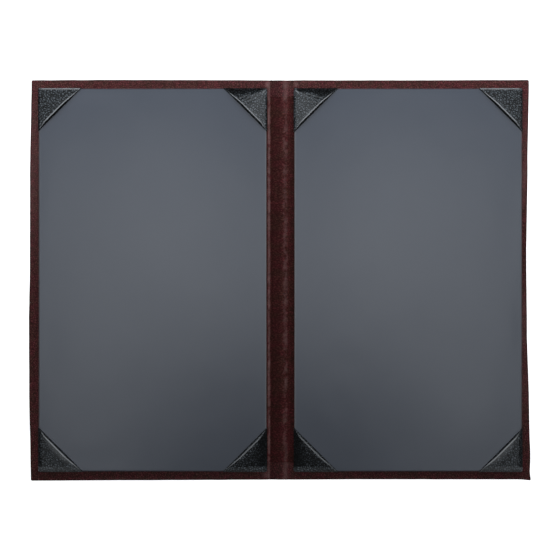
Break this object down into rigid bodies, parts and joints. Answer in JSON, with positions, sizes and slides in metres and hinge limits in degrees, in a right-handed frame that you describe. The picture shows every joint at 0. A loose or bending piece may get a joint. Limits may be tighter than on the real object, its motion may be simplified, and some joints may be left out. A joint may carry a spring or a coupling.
{
  "type": "menu cover",
  "caption": "Hardback menu cover: wrapped boards folding on a spine, with corner pockets inside that hold a printed sheet on each panel.",
  "frame": {"origin": "middle of the spine's outer face, on the surface that the open cover lies on", "axes": "+X across both panels to the right panel, +Y up the panels towards the head, +Z out of the inside face"},
  "size_m": [0.476, 0.382, 0.0067],
  "materials": {
    "burgundy_leatherette": "dull grained leatherette",
    "black_leatherette": "satin pebble-grained leatherette",
    "greyboard": "solid grey bookbinding board, raw",
    "liner_card": "solid pulp card, raw",
    "grey_facing": "slate grey coated paper with a satin face"
  },
  "bodies": {
    "spine": {"spine_board": "greyboard", "spine_leatherette": "burgundy_leatherette", "spine_lining": "burgundy_leatherette", "left_outer_hinge": "burgundy_leatherette", "left_inner_hinge": "burgundy_leatherette", "right_outer_hinge": "burgundy_leatherette", "right_inner_hinge": "burgundy_leatherette"},
    "left_leaf": {"left_cover_board": "greyboard", "left_cover_leatherette": "burgundy_leatherette", "left_lining_wing": "burgundy_leatherette", "left_liner_card": "liner_card", "left_liner_facing": "grey_facing", "left_pocket_top_outer": "black_leatherette", "left_pocket_top_inner": "black_leatherette", "left_pocket_bottom_outer": "black_leatherette", "left_pocket_bottom_inner": "black_leatherette"},
    "right_leaf": {"right_cover_board": "greyboard", "right_cover_leatherette": "burgundy_leatherette", "right_lining_wing": "burgundy_leatherette", "right_liner_card": "liner_card", "right_liner_facing": "grey_facing", "right_pocket_top_outer": "black_leatherette", "right_pocket_top_inner": "black_leatherette", "right_pocket_bottom_outer": "black_leatherette", "right_pocket_bottom_inner": "black_leatherette"}
  },
  "joints": [
    {"name": "left_hinge", "type": "hinge", "parent": "spine", "child": "left_leaf", "pos_m": [-0.0081, 0, 0.00075], "axis": [0, 1, 0], "range_deg": [-90, 90], "deforming": ["left_outer_hinge", "left_inner_hinge"]},
    {"name": "right_hinge", "type": "hinge", "parent": "spine", "child": "right_leaf", "pos_m": [0.0081, 0, 0.00075], "axis": [0, -1, 0], "range_deg": [-90, 90], "deforming": ["right_outer_hinge", "right_inner_hinge"]}
  ]
}
